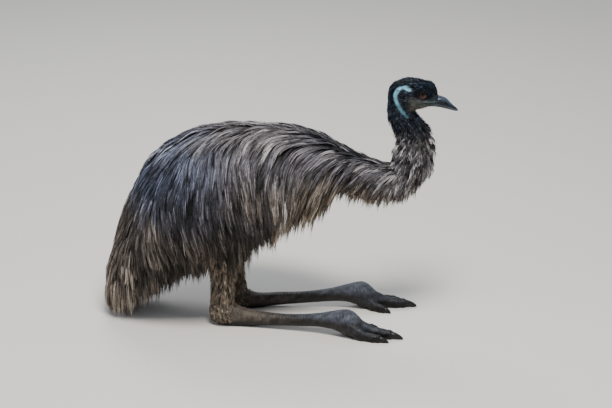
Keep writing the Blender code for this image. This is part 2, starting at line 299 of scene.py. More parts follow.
def add_node(material, kind, inputs=None, **settings):
    """A new node of a kind, with its own settings made first and then its inputs fed."""
    node = material.node_tree.nodes.new("ShaderNode" + kind)
    for setting, value in settings.items():
        setattr(node, setting, value)
    feed(material, node, inputs or {})
    return node


def new_material(name, even):
    """A material and its shader, with what is even all over set on the shader's own sockets."""
    material = bpy.data.materials.new(name)
    material.use_nodes = True
    shader = material.node_tree.nodes["Principled BSDF"]
    feed(material, shader, even)
    return material, shader


def uneven(material, colour, pattern, low, high, dark, light):
    """A colour times dark where a pattern is low, times light where it is high."""
    spread = add_node(material, "MapRange", {"Value": pattern, "From Min": low, "From Max": high,
                                             "To Min": dark, "To Max": light})
    return add_node(material, "VectorMath", {0: colour, "Scale": spread.outputs["Result"]},
                    operation="SCALE").outputs["Vector"]


def dented(material, height, strength, deep):
    """The way a surface faces where small dents in it follow a height, deep in metres."""
    return add_node(material, "Bump", {"Height": height, "Strength": strength,
                                       "Distance": deep}).outputs["Normal"]


def mottle(points, size, seed=0):
    """Soft blotches from -1 to 1: five crossed sine waves about size long."""
    found = np.zeros(len(points))
    for k in range(5):
        way = np.array([math.sin(2.3 * k + seed), math.cos(1.7 * k + seed * 2),
                        math.sin(3.1 * k + 1.3 + seed)])
        found += np.sin(points @ way * 2 * math.pi / size + 1.9 * k + seed)
    return found / 3.0


# The middle of the pale band, from above the ear down to the throat: x and z in millimetres
BARE_BAND = np.array([
    [357.4, 679.5], [339.4, 687.7], [328.1, 678.2], [319.5, 660.9], [323.9, 646], [333.1, 629.6],
    [346.5, 613.4], [354, 604],
]) / 1000


def near_band(x, z):
    """Distance in the side view from the pale band that curves behind the ear."""
    here = np.stack([x, z], axis=1)[:, None, :]
    start, run = BARE_BAND[:-1], BARE_BAND[1:] - BARE_BAND[:-1]
    share = (((here - start) * run).sum(axis=2) / (run**2).sum(axis=1)).clip(0, 1)
    return np.linalg.norm(here - start - run * share[..., None], axis=2).min(axis=1)


def round_ear(x, z):
    """Distance in the side view from the ear, where 1 is the edge of its dark opening."""
    return np.hypot((x - 0.3435) / 0.0115, (z - 0.659) / 0.0165)


def on_temple(x, z):
    """A bell curve over the thinly clad skin between the ear and the eye."""
    return bell((x - 0.362) / 0.0085, (z - 0.664) / 0.013)


def round_eye(x, z):
    """Distance in the side view from the eye, where 1 is the edge of the black skin round it."""
    return np.hypot((x - 0.393) / 0.027, (z - 0.6685 + 0.15 * (x - 0.393)) / 0.015)


def marked(colours, tints, **shares):
    """Colours moved in turn towards each named tint, by the share of it at each point."""
    found = np.asarray(colours)
    for name, share in shares.items():
        share = np.clip(share, 0, 1)[:, None]
        found = found * (1 - share) + np.array(tints[name]) * share
    return found


def ramp(value, low, high):
    """A smooth rise from 0 at low to 1 at high: 3 t^2 - 2 t^3."""
    t = np.clip((value - low) / (high - low), 0, 1)
    return t * t * (3 - 2 * t)


def fall(value, low, high):
    """A smooth fall from 1 at low to 0 at high."""
    return 1 - ramp(value, low, high)


# Colours, here and below, are red, green and blue from 0 to 1
SKIN = {"under_plumage": (0.012, 0.011, 0.011), "face": (0.016, 0.02, 0.024),
        "cheek": (0.05, 0.056, 0.054), "chin": (0.12, 0.105, 0.085),
        "lores": (0.03, 0.048, 0.056), "band_edge": (0.045, 0.11, 0.14),
        "band": (0.2, 0.455, 0.59), "temple": (0.045, 0.066, 0.076),
        "ear": (0.006, 0.008, 0.01), "cere": (0.012, 0.016, 0.022),
        "eye": (0.004, 0.004, 0.005), "gape": (0.11, 0.145, 0.165),
        "mouth": (0.004, 0.004, 0.005),
        "scales": (0.016, 0.0145, 0.014), "scales_top": (0.056, 0.062, 0.08),
        "toe_sides": (0.027, 0.03, 0.039), "sole": (0.006, 0.005, 0.005),
        "hock": (0.112, 0.092, 0.072)}


def face_colours(points):
    """The bare head's colours: a pale blue band, painted brighter towards its top as a painted
    highlight, black skin round the eye, and near black painted shade in the ear opening and
    the crease of the mouth.

    Here and in the coat, ramps and bells over the place in metres give each mark's share.
    """
    x, y, z = points.T
    side = ramp(np.abs(y), 0.012, 0.022)
    under = fall(z, 0.65, 0.662) * ramp(z, 0.612, 0.622)
    lower = ramp(z, 0.622, 0.662)
    near = near_band(x, z)
    band = fall(near, 0.0022 + 0.001 * lower, 0.0058 + 0.0012 * lower)
    worn = 0.66 + 0.2 * mottle(points, 0.006) + 0.26 * mottle(points, 0.021, 6)
    slant = 0.12 * (x - 0.413)
    return marked(
        SKIN["face"], SKIN,
        cheek=ramp(x, 0.35, 0.372) * under,
        chin=(ramp(x, 0.352, 0.368) * fall(z, 0.628, 0.64) * under
              * (0.6 + 0.4 * mottle(points, 0.01, 2))),
        lores=ramp(x, 0.398, 0.412) * fall(z, 0.664, 0.672),
        band_edge=fall(near, 0.005, 0.014) * side * 0.6,
        # The band is painted brighter towards its top, partly its own paler blue and partly a
        # painted highlight on its arc over the ear, and its brightness is patchy in soft random
        # blotches
        band=band * (0.4 + 0.6 * lower) * side * worn,
        temple=on_temple(x, z) * side * 0.8,
        # The ear opening is painted near black, as painted shade in its hollow
        ear=fall(round_ear(x, z), 0.65, 1.15) * side,
        cere=ramp(x, 0.402, 0.411) * ramp(z, 0.6475, 0.6515),
        eye=fall(round_eye(x, z), 0.85, 1.15) * side,
        gape=(bell((z - 0.6465 + slant) / 0.0012) * ramp(x, 0.39, 0.402)
              * fall(x, 0.418, 0.428) * side * 0.8),
        # The crease of the mouth is a thin near black line of painted shade
        mouth=bell((z - 0.6428 + slant) / 0.001) * ramp(x, 0.392, 0.4) * side)


def skin_colours(points):
    """The skin's colours by place: the face, the scaled legs with painted highlight on their tops
    and painted shade beneath, and painted shade under the plumage.
    """
    x, y, z = points.T
    head = ramp(z, 0.585, 0.615)[:, None]
    leg = (fall(z, 0.078, 0.095) * ramp(x, -0.215, -0.205))[:, None]
    scaled = marked(
        SKIN["scales"], SKIN,
        # The tops of the tarsi and toes are painted paler and bluer as a painted highlight, and
        # their undersides near black as painted shade
        scales_top=ramp(z, 0.036, 0.058) * ramp(x, -0.06, 0.06),
        toe_sides=ramp(z, 0.012, 0.032) * ramp(x, 0.2, 0.26) * fall(z, 0.036, 0.05),
        sole=fall(z, 0.006, 0.026),
        hock=fall(x, -0.12, 0.1) * ramp(z, 0.008, 0.04) * 0.8)
    scaled *= (1 + 0.3 * mottle(points, 0.03, 3) + 0.16 * mottle(points, 0.008, 5))[:, None]
    # Under the plumage the skin is painted near black, as painted shade deep in the coat where it
    # shows between locks
    upper = np.array(SKIN["under_plumage"]) * (1 - head) + face_colours(points) * head
    return upper * (1 - leg) + scaled * leg


BODY_STEPS = ((0.9, 12, 60), (12, 22, 60), (22, LAST, 180))
body_at = np.concatenate([np.linspace(*steps)[:-1] for steps in BODY_STEPS] + [[LAST]])
place, turn = np.meshgrid(body_at, full_turn(112), indexing="ij")
body = body_point(place.ravel(), turn.ravel(), np.zeros(place.size))
skin_tubes = [closed_tube(body.reshape(*place.shape, 3))]

for which in LEGS:
    at, turn = lengthwise(TARSUS, 290), full_turn(56)
    row = tarsus_rows(which, at[:, 0])[:, None, :]
    relief = scale_relief(at, turn, row[..., 3], 0.0085) * ramp(at, 0.0, 0.03)
    across, up = section(row[..., 3] + relief, row[..., 1] + relief, row[..., 2] - relief,
                         turn, FULL_SIDES)
    skin_tubes.append(closed_tube(on_leg(which, at, across, up)))
    for toe in TOES:
        at, turn = lengthwise(TOE, 88), full_turn(40)
        row = smooth_table(TOE, at[:, 0])[:, None, :]
        relief = scale_relief(at, turn, row[..., 3], 0.0062)
        across, up = section(row[..., 3] + relief, row[..., 1] + relief, row[..., 2], turn, 0.45)
        skin_tubes.append(closed_tube(on_toe(which, toe, at, across, up)))
    at, turn = lengthwise(SHANK, 40), full_turn(32)
    row = smooth_table(SHANK, at[:, 0])[:, None, :]
    along = row[..., 1] - shank_back(which, row[..., 0]) + row[..., 2] * np.cos(turn)
    skin_tubes.append(closed_tube(on_leg(which, along, row[..., 3] * np.sin(turn), at)))

shapes = [new_object("tube", new_mesh("tube", points, faces)) for points, faces in skin_tubes]
for shape in shapes[1:]:
    join = shapes[0].modifiers.new("Join", "BOOLEAN")
    join.operation = "UNION"
    join.solver = "MANIFOLD"
    join.object = shape
joined = shapes[0].evaluated_get(bpy.context.evaluated_depsgraph_get())
skin_mesh = bpy.data.meshes.new_from_object(joined)
skin_mesh.name = "skin"
skin_mesh.materials.clear()
for shape in shapes:
    bpy.data.objects.remove(shape, do_unlink=True)
skin_mesh.shade_smooth()
skin_points = np.empty(len(skin_mesh.vertices) * 3, np.float32)
skin_mesh.vertices.foreach_get("co", skin_points)
skin_points = skin_points.reshape(-1, 3).astype(float)
height = skin_points[:, 2]
bare = np.maximum(fall(height, 0.075, 0.095), ramp(height, 0.595, 0.615))
paint(skin_mesh, "marking", skin_colours(skin_points), 0.92 - 0.54 * bare)

# The marking's fourth number is the roughness: dull under the plumage, smoother where bare
skin_material, shader = new_material("emu_skin", {"Specular IOR Level": 0.22})
marking = add_node(skin_material, "Attribute", attribute_name="marking").outputs
place = add_node(skin_material, "TexCoord").outputs["Object"]
pores = add_node(skin_material, "TexVoronoi", {"Vector": place, "Scale": 420.0})
blotch = add_node(skin_material, "TexNoise", {"Vector": place, "Scale": 90.0, "Detail": 5.0})
feed(skin_material, shader, {
    "Base Color": uneven(skin_material, marking["Color"], blotch.outputs["Fac"],
                         0.3, 0.7, 0.62, 1.4),
    "Normal": dented(skin_material, pores.outputs["Distance"], 0.7, 0.0009),
    "Roughness": marking["Alpha"]})

flesh = ["tail", "trunk", "neck_lower", "neck_bend", "neck_upper", "head"]
for which in LEGS:
    flesh += [f"wing_{which}", f"ear_{which}", f"shank_{which}", f"tarsus_{which}"]
    flesh += [f"toe_{toe}_{which}" for toe in TOES]
new_piece("skin", skin_mesh, skin_material, "leg_scales", *flesh)

# THE CLAWS
# Each of the six toes ends in a blunt, slightly curved nail of dark horn, flat underneath and
# ridged along the top, that grows out of a soft cuff of skin.
CLAW = np.array([
    [108, 19.5, 1.5, 8.8], [114.5, 20.2, 1.2, 8.8], [124, 18, 0.6, 7.4], [135, 12.6, 0.2, 5],
    [141, 8.2, 0.4, 3.1], [144, 4.5, 1.2, 1.2],
]) / 1000
claw_material, shader = new_material("claw_horn", {"Roughness": 0.36, "Specular IOR Level": 0.25})
place = add_node(claw_material, "TexCoord").outputs["Object"]
grain = add_node(claw_material, "TexNoise", {"Vector": place, "Scale": 260.0, "Detail": 6.0})


def colour_stops(material, fac, *stops):
    """A colour that runs through stops, each a place from 0 to 1 and a red, green and blue."""
    node = add_node(material, "ValToRGB", {"Fac": fac})
    elements = node.color_ramp.elements
    while len(elements) < len(stops):
        elements.new(0.5)
    for element, (at, colour) in zip(elements, stops):
        element.position = at
        element.color = (*colour, 1)
    return node.outputs["Color"]


feed(claw_material, shader, {
    "Base Color": colour_stops(claw_material, grain.outputs["Fac"],
                               (0.35, (0.005, 0.005, 0.006)), (0.75, (0.022, 0.023, 0.027))),
    "Normal": dented(claw_material, grain.outputs["Fac"], 0.3, 0.0003)})

for which in LEGS:
    for toe in TOES:
        at, turn = lengthwise(CLAW, 40), full_turn(32)
        row = smooth_table(CLAW, at[:, 0])[:, None, :]
        ridge = 0.0007 * bell(np.sin(turn / 2) / 0.16)
        across, up = section(row[..., 3], row[..., 1] + ridge, row[..., 2], turn, 0.5)
        points, faces = closed_tube(on_toe(which, toe, at, across, up))
        name = f"nail_{toe}_{which}"
        new_piece(name, new_mesh(name, points, faces), claw_material, "claw_horn",
                  f"claw_{toe}_{which}")

# THE BILL
# Two flat, broad halves of black horn meet along a gape that runs back under the eye. The upper
# one has a rounded ridge, painted paler and bluer along its top as a painted highlight, and a
# long groove at each side with the nostril in it, both painted dark as painted shade. The edges
# are painted pale, partly paler horn and partly painted highlight.
BILL = {"horn": (0.006, 0.0085, 0.013), "ridge": (0.042, 0.064, 0.1),
        "rim": (0.15, 0.175, 0.195), "groove": (0.004, 0.004, 0.006),
        "nostril": (0.001, 0.001, 0.001)}
# Columns, in millimetres: x, top, bottom, half width
BILL_UPPER = np.array([
    [410, 660, 640, 14], [420, 659.2, 638.5, 16], [430, 658.2, 636.8, 17],
    [442, 656.2, 633.6, 16], [453, 651.5, 631.2, 14], [462, 642.5, 628.8, 11.8],
    [471, 633.8, 625.6, 9.4], [478, 628.4, 622.6, 7.2], [482.5, 624.3, 620, 4.8],
    [484.5, 620.8, 618.2, 2],
]) / 1000
BILL_LOWER = np.array([
    [408, 639.8, 629, 14], [420, 638, 629.4, 15.4], [430, 636.3, 629.2, 16],
    [442, 633.1, 627.8, 15], [453, 630.6, 625.2, 13], [462, 628.2, 622.8, 10.8],
    [471, 625, 620.4, 8.4], [477, 622.2, 618.8, 6], [480.5, 620, 618, 2.6],
]) / 1000
bill_material, shader = new_material("bill_horn", {
    "Roughness": 0.28, "Specular IOR Level": 0.26, "Coat Weight": 0.25, "Coat Roughness": 0.15})
marking = add_node(bill_material, "Attribute", attribute_name="marking").outputs
place = add_node(bill_material, "TexCoord").outputs["Object"]
stretch = add_node(bill_material, "Mapping", {"Vector": place, "Scale": (0.35, 1.0, 1.0)})
wear = add_node(bill_material, "TexNoise", {"Vector": stretch.outputs["Vector"], "Scale": 420.0,
                                            "Detail": 6.0})
feed(bill_material, shader, {
    "Base Color": uneven(bill_material, marking["Color"], wear.outputs["Fac"],
                         0.35, 0.7, 0.75, 1.5),
    "Normal": dented(bill_material, wear.outputs["Fac"], 0.25, 0.0003)})


def bill_half(table, upper):
    """A half of the bill: its outer face rises as a power of cosine, its biting face is flat.

    Two bell-shaped dents in the sides of the upper half make the groove and the nostril.
    """
    at, turn = lengthwise(table, 120), full_turn(72)
    _, top, bottom, half = (column[:, None] for column in smooth_table(table, at[:, 0]).T)
    thick = top - bottom
    if upper:
        edge, outer, inner, power = bottom + 0.07 * thick, top, bottom, 0.85
    else:
        edge, outer, inner, power = top - 0.12 * thick, bottom, top, 0.75
    way = 1 if upper else -1
    cos = np.cos(turn) * way
    up = np.where(cos > 0, edge + (outer - edge) * np.abs(cos) ** power,
                  edge + (inner - edge) * np.abs(cos) ** 0.35)
    side = np.abs(np.sin(turn)) ** 0.8
    middle = edge + 0.44 * (outer - edge)
    groove = bell((at - 0.447) / 0.015, (up - middle) / 0.0024) * upper
    hole = bell((at - 0.4545) / 0.005, (up - middle + 0.0003) / 0.0013) * upper
    dent = 0.0026 * groove + 0.0036 * hole
    across = np.sign(np.sin(turn)) * (side * half - dent * side)
    points, faces = closed_tube(np.stack([at + 0 * up, across, up], axis=-1))
    mesh = new_mesh("bill", points, faces)
    # The top is painted paler as a painted highlight, the edges pale as partly paler horn and
    # partly painted highlight, and the groove and nostril dark as painted shade
    rim = bell((up - edge - 0.0008 * way) / 0.0009)
    ridge = ramp(cos, 0.45, 0.9) * (1 if upper else 0.3) * fall(at, 0.462, 0.474)
    tone = marked(BILL["horn"], BILL, ridge=(ridge * 0.7).ravel(),
                  rim=(rim * ramp(side, 0.6, 0.9) * 0.7).ravel(),
                  groove=(0.8 * groove).ravel(), nostril=(1.2 * hole).ravel())
    paint(mesh, "marking", np.vstack([tone, tone[:1], tone[-1:]]))
    return mesh


new_piece("bill_top", bill_half(BILL_UPPER, True), bill_material, "bill_horn", "bill_upper")
new_piece("bill_base", bill_half(BILL_LOWER, False), bill_material, "bill_horn", "bill_lower")

# THE EYES
# Each eye is a wet ball set deep in the side of the head, with a round pupil and a reddish brown
# iris. Two thin lids close round it, the upper one heavier and the lower one with a pale edge.
EYE = {"pupil": (0.0006, 0.0005, 0.0005), "iris": (0.115, 0.026, 0.012),
       "iris_edge": (0.018, 0.007, 0.005), "white": (0.016, 0.012, 0.012),
       "lid": (0.004, 0.004, 0.005), "lid_edge": (0.2, 0.125, 0.11)}
# The middle of the left eye, and the ball's radius
EYE_CENTRE, EYE_RADIUS = np.array([0.3925, 0.0214, 0.6675]), 0.0125
# The angles from the gaze to the edges of the pupil and the iris
PUPIL, IRIS = 0.4, 0.78
eye_material, shader = new_material("eye_gloss", {
    "Roughness": 0.07, "Specular IOR Level": 0.18, "Coat Weight": 0.2, "Coat Roughness": 0.02})
marking = add_node(eye_material, "Attribute", attribute_name="marking").outputs
feed(eye_material, shader, {"Base Color": marking["Color"]})

lid_material, shader = new_material("eyelid_skin", {"Roughness": 0.6, "Specular IOR Level": 0.12})
marking = add_node(lid_material, "Attribute", attribute_name="marking").outputs
place = add_node(lid_material, "TexCoord").outputs["Object"]
pores = add_node(lid_material, "TexVoronoi", {"Vector": place, "Scale": 900.0})
feed(lid_material, shader, {
    "Base Color": marking["Color"],
    "Normal": dented(lid_material, pores.outputs["Distance"], 0.5, 0.0003)})


def on_ball(side, radius, tilt, turn):
    """Points at a radius from an eye's centre, a tilt from its gaze and a turn from its front.

    The gaze points outward, a little forward and up, and the front corner is a little high.
    """
    out = unit(np.array([0.05, side, 0.03]))
    ahead = np.array([math.cos(0.2), 0, math.sin(0.2)])
    ahead = unit(ahead - out * (out @ ahead))
    upward = np.cross(ahead, out) * side
    spoke = np.cos(turn)[:, None] * ahead + np.sin(turn)[:, None] * upward
    return (EYE_CENTRE * (1, side, 1) + (radius * np.cos(tilt))[..., None] * out
            + (radius * np.sin(tilt))[..., None] * spoke)


def eyeball(side):
    """A ball that bulges a little in front, painted in rings and streaks round the gaze."""
    tilt, turn = np.linspace(0.02, math.pi - 0.02, 90)[:, None], full_turn(96)
    points, faces = closed_tube(on_ball(side, EYE_RADIUS * (1 + 0.05 * bell(tilt / 0.6)),
                                        tilt, turn))
    mesh = new_mesh("eye", points, faces)
    angle = np.append(np.repeat(tilt, len(turn)), [0, math.pi])
    spoke = np.append(np.tile(turn, len(tilt)), [0, 0])
    streaks = 0.5 + 0.5 * np.sin(spoke * 41 + 3 * np.sin(spoke * 7)) * np.sin(spoke * 23 + 1)
    iris = ramp(angle, PUPIL - 0.02, PUPIL + 0.02) * fall(angle, IRIS - 0.03, IRIS + 0.03)
    # The iris is painted bright only in its lower half, as painted light where the cornea gathers
    # light from above onto it, and as painted shade under the upper lid
    low = 0.08 + 0.92 * ramp(-np.sin(spoke), -0.1, 0.8)
    paint(mesh, "marking", marked(
        EYE["pupil"], EYE,
        iris=iris * (0.7 + 0.3 * streaks) * low,
        iris_edge=iris * (ramp(angle, 0.64, IRIS) + 0.5 * fall(angle, PUPIL, 0.47)),
        white=ramp(angle, IRIS, IRIS + 0.06)))
    return mesh


def eyelids(side):
    """Both lids as one closed ring of skin. Its opening is a rounded lens, where the powers 1.7
    of the two directions add up to 1, and the skin has a round margin, a swell and fine folds."""
    turn = full_turn(120)
    over = ramp(np.sin(turn), -0.2, 0.9)
    tall = np.abs(np.sin(turn) / (0.86 - 0.26 * over))
    opening = 0.8 / (np.abs(np.cos(turn)) ** 1.7 + tall**1.7) ** (1 / 1.7)
    share = np.linspace(0, 1, 30)[:, None]
    tilt = opening + (1.62 - opening) * share
    margin = np.sin(np.clip(share / 0.12, 0, 1) * math.pi / 2)
    swell = (0.0008 + 0.001 * over) * bell((share - 0.2) / 0.16)
    folds = 0.00016 * np.sin(share * 34 + 0.6 * np.sin(turn * 2)) * ramp(share, 0.2, 0.4)
    inside = EYE_RADIUS + 0.0003
    outside = inside + 0.0006 * margin + swell + folds - 0.0016 * share
    rings = np.concatenate([on_ball(side, outside, tilt, turn),
                            on_ball(side, inside, tilt[::-1], turn)])
    count, sides = rings.shape[:2]
    i, j = (g.ravel() for g in np.meshgrid(np.arange(count), np.arange(sides), indexing="ij"))
    k, n = (j + 1) % sides, (i + 1) % count
    faces = np.stack([i * sides + j, n * sides + j, n * sides + k, i * sides + k], axis=1)
    mesh = new_mesh("lid", rings.reshape(-1, 3), faces[:, ::side].copy())
    low = (1 - over) * bell((share - 0.09) / 0.07) * ramp(-np.sin(turn), 0.1, 0.6)
    pale = np.concatenate([low, 0 * low]).ravel()
    paint(mesh, "marking", marked(EYE["lid"], EYE, lid_edge=pale * 0.55))
    return mesh


for which, (side, *_) in LEGS.items():
    new_piece(f"eyeball_{which}", eyeball(side), eye_material, "eye_gloss", f"eye_{which}")
    new_piece(f"lids_{which}", eyelids(side), lid_material, "bare_skin")

# THE PLUMAGE
# An emu's feathers are long, loose and hair-like. They part along the spine, sweep back from
# the neck, fall down the sides and hang free below. Each lock here is a group of thin strands.
rng = np.random.default_rng(20)
COAT = {"brown": (0.058, 0.05, 0.045), "upper": (0.056, 0.054, 0.063),
        "spine": (0.15, 0.141, 0.153), "rump": (0.036, 0.044, 0.07),
        "flank": (0.016, 0.0155, 0.018), "under": (0.031, 0.025, 0.021),
        "tail": (0.066, 0.057, 0.051), "tail_tip": (0.215, 0.182, 0.153),
        "breast": (0.118, 0.096, 0.073), "belly": (0.23, 0.18, 0.13),
        "parting": (0.04, 0.041, 0.047), "gap": (0.016, 0.015, 0.016),
        "neck": (0.108, 0.104, 0.112), "collar": (0.15, 0.145, 0.16),
        "upper_neck": (0.006, 0.008, 0.013), "head": (0.008, 0.013, 0.023)}
plume_material, shader = new_material("plumage", {"Roughness": 0.5, "Specular IOR Level": 0.2})
strand = add_node(plume_material, "Attribute", attribute_name="strand").outputs
# Each strand is painted dark at its root and a little paler at its tip, partly its own colour and
# partly painted shade deep in the coat
along = colour_stops(plume_material, strand["Alpha"], (0.0, (0.14, 0.135, 0.13)),
                     (0.5, (1.0, 1.0, 1.0)), (1.0, (1.15, 1.08, 1.0)))
tint = add_node(plume_material, "Mix", {"Factor": 1.0, "A": strand["Color"], "B": along},
                data_type="RGBA", blend_type="MULTIPLY")
place = add_node(plume_material, "TexCoord").outputs["Object"]
barbs = add_node(plume_material, "TexNoise", {"Vector": place, "Scale": 160.0, "Detail": 3.0})
feed(plume_material, shader, {
    "Base Color": uneven(plume_material, tint.outputs["Result"], barbs.outputs["Fac"],
                         0.3, 0.7, 0.7, 1.3)})


def comb(surface, wish, place, turn, length, steps, root, crest, release=-2.0, hang=1.0):
    """Guide curves of locks that grow on a surface, with the surface's normal at each point.

    Every step goes the wished way, laid flat on the surface, by solving for the two small moves
    in place and turn that give it. The level rises from root to crest. Where the surface faces
    down more than release, which -2 rules out, the lock leaves it and hangs: it keeps its last
    direction, bent towards the ground a little more at each step, for a share of its length left.
    """
    small = 1e-3
    points, normals = [], []
    free = np.zeros(len(place), bool)
    spot, heading = None, np.zeros((len(place), 3))
    stride = (length / steps)[:, None]
    for t in np.arange(steps + 1) / steps:
        level = root + (crest - root) * np.minimum(1.0, 1.9 * t) ** 0.8
        here = surface(place, turn, level)
        by_place = surface(place + small, turn, level) - here
        by_turn = surface(place, turn + small, level) - here
        normal = unit(np.cross(by_place, by_turn))
        spot = here if spot is None else np.where(free[:, None], spot, here)
        points.append(spot)
        normals.append(normal)
        way = wish(place, turn, spot, unit(-by_place))
        way = unit(way - normal * (way * normal).sum(axis=1)[:, None])
        drop = unit(heading + np.array([0, 0, -0.45]))
        spot = np.where(free[:, None], spot + drop * stride * np.reshape(hang, (-1, 1)),
                        spot + way * stride)
        heading = np.where(free[:, None], drop, way)
        a, b, c = ((p * q).sum(axis=1) for p, q in
                   ((by_place, by_place), (by_place, by_turn), (by_turn, by_turn)))
        u, v = (by_place * way).sum(axis=1), (by_turn * way).sum(axis=1)
        move = length / steps * small / np.maximum(a * c - b * b, 1e-18)
        place = np.where(free, place, np.clip(place + (c * u - b * v) * move, 0.02, LAST))
        turn = np.where(free, turn, turn + (a * v - b * u) * move)
        free = free | (normal[:, 2] < release)
    return np.stack(points, axis=1), np.stack(normals, axis=1)


def strands(guides, normals, count, spread_out, clump, width, wave, roll):
    """Ribbon strands for each lock: an array of edge points (strands, steps + 1, 2, 3).

    A strand follows its lock's guide, set off by a share of the lock's spread that shrinks as
    1 - clump t towards the tip, with its own length, a slow wave and a roll of its flat side.
    """
    locks, rows = guides.shape[:2]
    owner = np.repeat(np.arange(locks), count)
    many = len(owner)
    t = np.linspace(0, 1, rows)[None, :]
    reach = rng.uniform(0.7, 1.0, many)[:, None] * t * (rows - 1)
    first = np.clip(np.floor(reach).astype(int), 0, rows - 2)
    part = (reach - first)[..., None]
    path, face = (v[owner[:, None], first] * (1 - part) + v[owner[:, None], first + 1] * part
                  for v in (guides, normals))
    face = unit(face)
    heading = unit(np.gradient(path, axis=1))
    beside = unit(np.cross(heading, face))
    clump = np.broadcast_to(clump, locks)[owner][:, None]
    far = np.sqrt(rng.uniform(0, 1, many)) * spread_out[owner]
    around = rng.uniform(0, 2 * math.pi, many)
    off_side = (far * np.cos(around))[:, None] * (1 - clump * t**1.3)
    off_up = (0.3 * far * np.sin(around))[:, None] * (1 - 0.8 * t)
    phase = rng.uniform(0, 2 * math.pi, many)[:, None]
    size = (rng.normal(0, 1, many) * wave[owner])[:, None]
    off_side = off_side + size * t**1.5 * np.sin(phase + 3.2 * t)
    off_up = off_up + 0.5 * size * t**2 * np.cos(phase + 2.1 * t)
    path = path + beside * off_side[..., None] + face * off_up[..., None]
    angle = (rng.normal(0, roll, many)[:, None] + 0.5 * np.sin(phase + 2 * t))[..., None]
    flat = beside * np.cos(angle) + face * np.sin(angle)
    wide = (rng.uniform(0.7, 1.25, many) * width)[:, None] * (0.62 + 0.75 * t - 1.32 * t**3)
    half = flat * (wide / 2)[..., None]
    edges = np.stack([path - half, path + half], axis=2)
    edges[..., 2] = np.maximum(edges[..., 2], 0.0012 + 0.004 * rng.uniform(0, 1, (many, 1, 1)))
    return edges, owner


def coat_piece(name, edges, colours, owner, roots, turns):
    """One mesh of ribbons. Each strand's last two points become one tip, and its own patch on
    the map OFBake, 0.003 across, lies at the place and turn of its root."""
    many, rows = edges.shape[:2]
    per = 2 * rows - 1
    tip = edges[:, -1].mean(axis=1)
    points = np.concatenate([edges[:, :-1].reshape(many, -1, 3), tip[:, None]], axis=1)
    start = np.arange(many)[:, None, None] * per
    k = np.arange(rows - 2)[None, :, None] * 2
    quads = (start + k + np.array([0, 2, 3, 1])).reshape(-1, 4)
    ends = (start + per - 3 + np.array([0, 2, 1, 0])).reshape(-1, 4)
    ends[:, 3] = -1
    mesh = new_mesh(name, points.reshape(-1, 3), np.vstack([quads, ends]))
    t = np.append(np.repeat(np.linspace(0, 1, rows)[:-1], 2), 1.0)
    paint(mesh, "strand", np.repeat(colours, per, axis=0), np.tile(t, many))
    root_uv = np.stack([roots, turns], axis=1)[owner]
    low, high = root_uv.min(axis=0), root_uv.max(axis=0)
    base = 0.01 + 0.98 * (root_uv - low) / (high - low)
    across = np.append(np.tile([-0.5, 0.5], rows - 1), 0.0)
    uv = base[:, None, :] + 0.003 * np.stack([across, t - 0.5], axis=1)
    corner = np.empty(len(mesh.loops), np.int32)
    mesh.loops.foreach_get("vertex_index", corner)
    layer = mesh.uv_layers.new(name="OFBake")
    layer.uv.foreach_set("vector", uv.reshape(-1, 2)[corner].astype(np.float32).ravel())
    new_piece(name, mesh, plume_material, "plumage")


def scatter(surface, places, density, count):
    """Places and turns of lock roots, drawn by area times density on a fine grid."""
    at, turn = np.linspace(*places, 260), np.linspace(-math.pi, math.pi, 181)
    s, t = (g.ravel() for g in np.meshgrid((at[1:] + at[:-1]) / 2, (turn[1:] + turn[:-1]) / 2,
                                           indexing="ij"))
    level = np.full(len(s), 0.5)
    here = surface(s, t, level)
    area = np.linalg.norm(np.cross(surface(s + 1e-3, t, level) - here,
                                   surface(s, t + 1e-3, level) - here), axis=1)
    weight = area * density(s, t, here)
    chosen = rng.choice(len(s), count, p=weight / weight.sum())
    return (s[chosen] + rng.uniform(-0.5, 0.5, count) * (at[1] - at[0]),
            t[chosen] + rng.uniform(-0.5, 0.5, count) * (turn[1] - turn[0]))


def from_spine(turn):
    """How far round the body a turn is: 0 at the spine and 1 at the middle of the belly."""
    return np.abs((turn + math.pi) % (2 * math.pi) - math.pi) / math.pi


# The lie of the plumage on the side of the body: x, z, degrees turned back from straight down
LIE = np.array([
    [-0.1, 0.58, 80], [0.03, 0.58, 76], [0.11, 0.56, 72], [-0.22, 0.56, 72], [-0.29, 0.53, 48],
    [-0.34, 0.46, 34], [-0.38, 0.39, 22], [-0.42, 0.27, 16], [-0.46, 0.13, 12], [-0.42, 0.08, 4],
    [0.17, 0.52, 60], [0.12, 0.5, 46], [0.07, 0.55, 62], [0.05, 0.5, 24], [0.04, 0.45, 2],
    [0.04, 0.4, -8], [0.12, 0.43, 34], [0.09, 0.38, 20], [0.07, 0.32, 6], [0.14, 0.37, 24],
    [0.01, 0.5, 12], [0.0, 0.41, -4], [-0.09, 0.56, 46], [-0.08, 0.52, 4], [-0.07, 0.45, -12],
    [-0.15, 0.55, 32], [-0.14, 0.49, -10], [-0.22, 0.52, 28], [-0.21, 0.47, -12],
    [-0.28, 0.43, 4], [-0.35, 0.36, 2], [-0.28, 0.33, -18], [-0.23, 0.28, -18],
    [-0.31, 0.23, -16], [-0.36, 0.18, -4], [-0.22, 0.19, -10], [-0.13, 0.32, -12],
    [-0.14, 0.23, -6], [-0.07, 0.35, -14], [-0.05, 0.28, -24], [0.0, 0.32, -6],
    [0.21, 0.46, 48], [0.29, 0.42, 40], [0.27, 0.37, 8], [0.33, 0.385, 4], [0.365, 0.45, 8],
    [0.325, 0.49, 28], [0.38, 0.515, 2], [0.335, 0.54, 6], [0.35, 0.585, 8], [0.32, 0.61, 14],
    [0.216, 0.51, 68], [0.283, 0.47, 60],
])


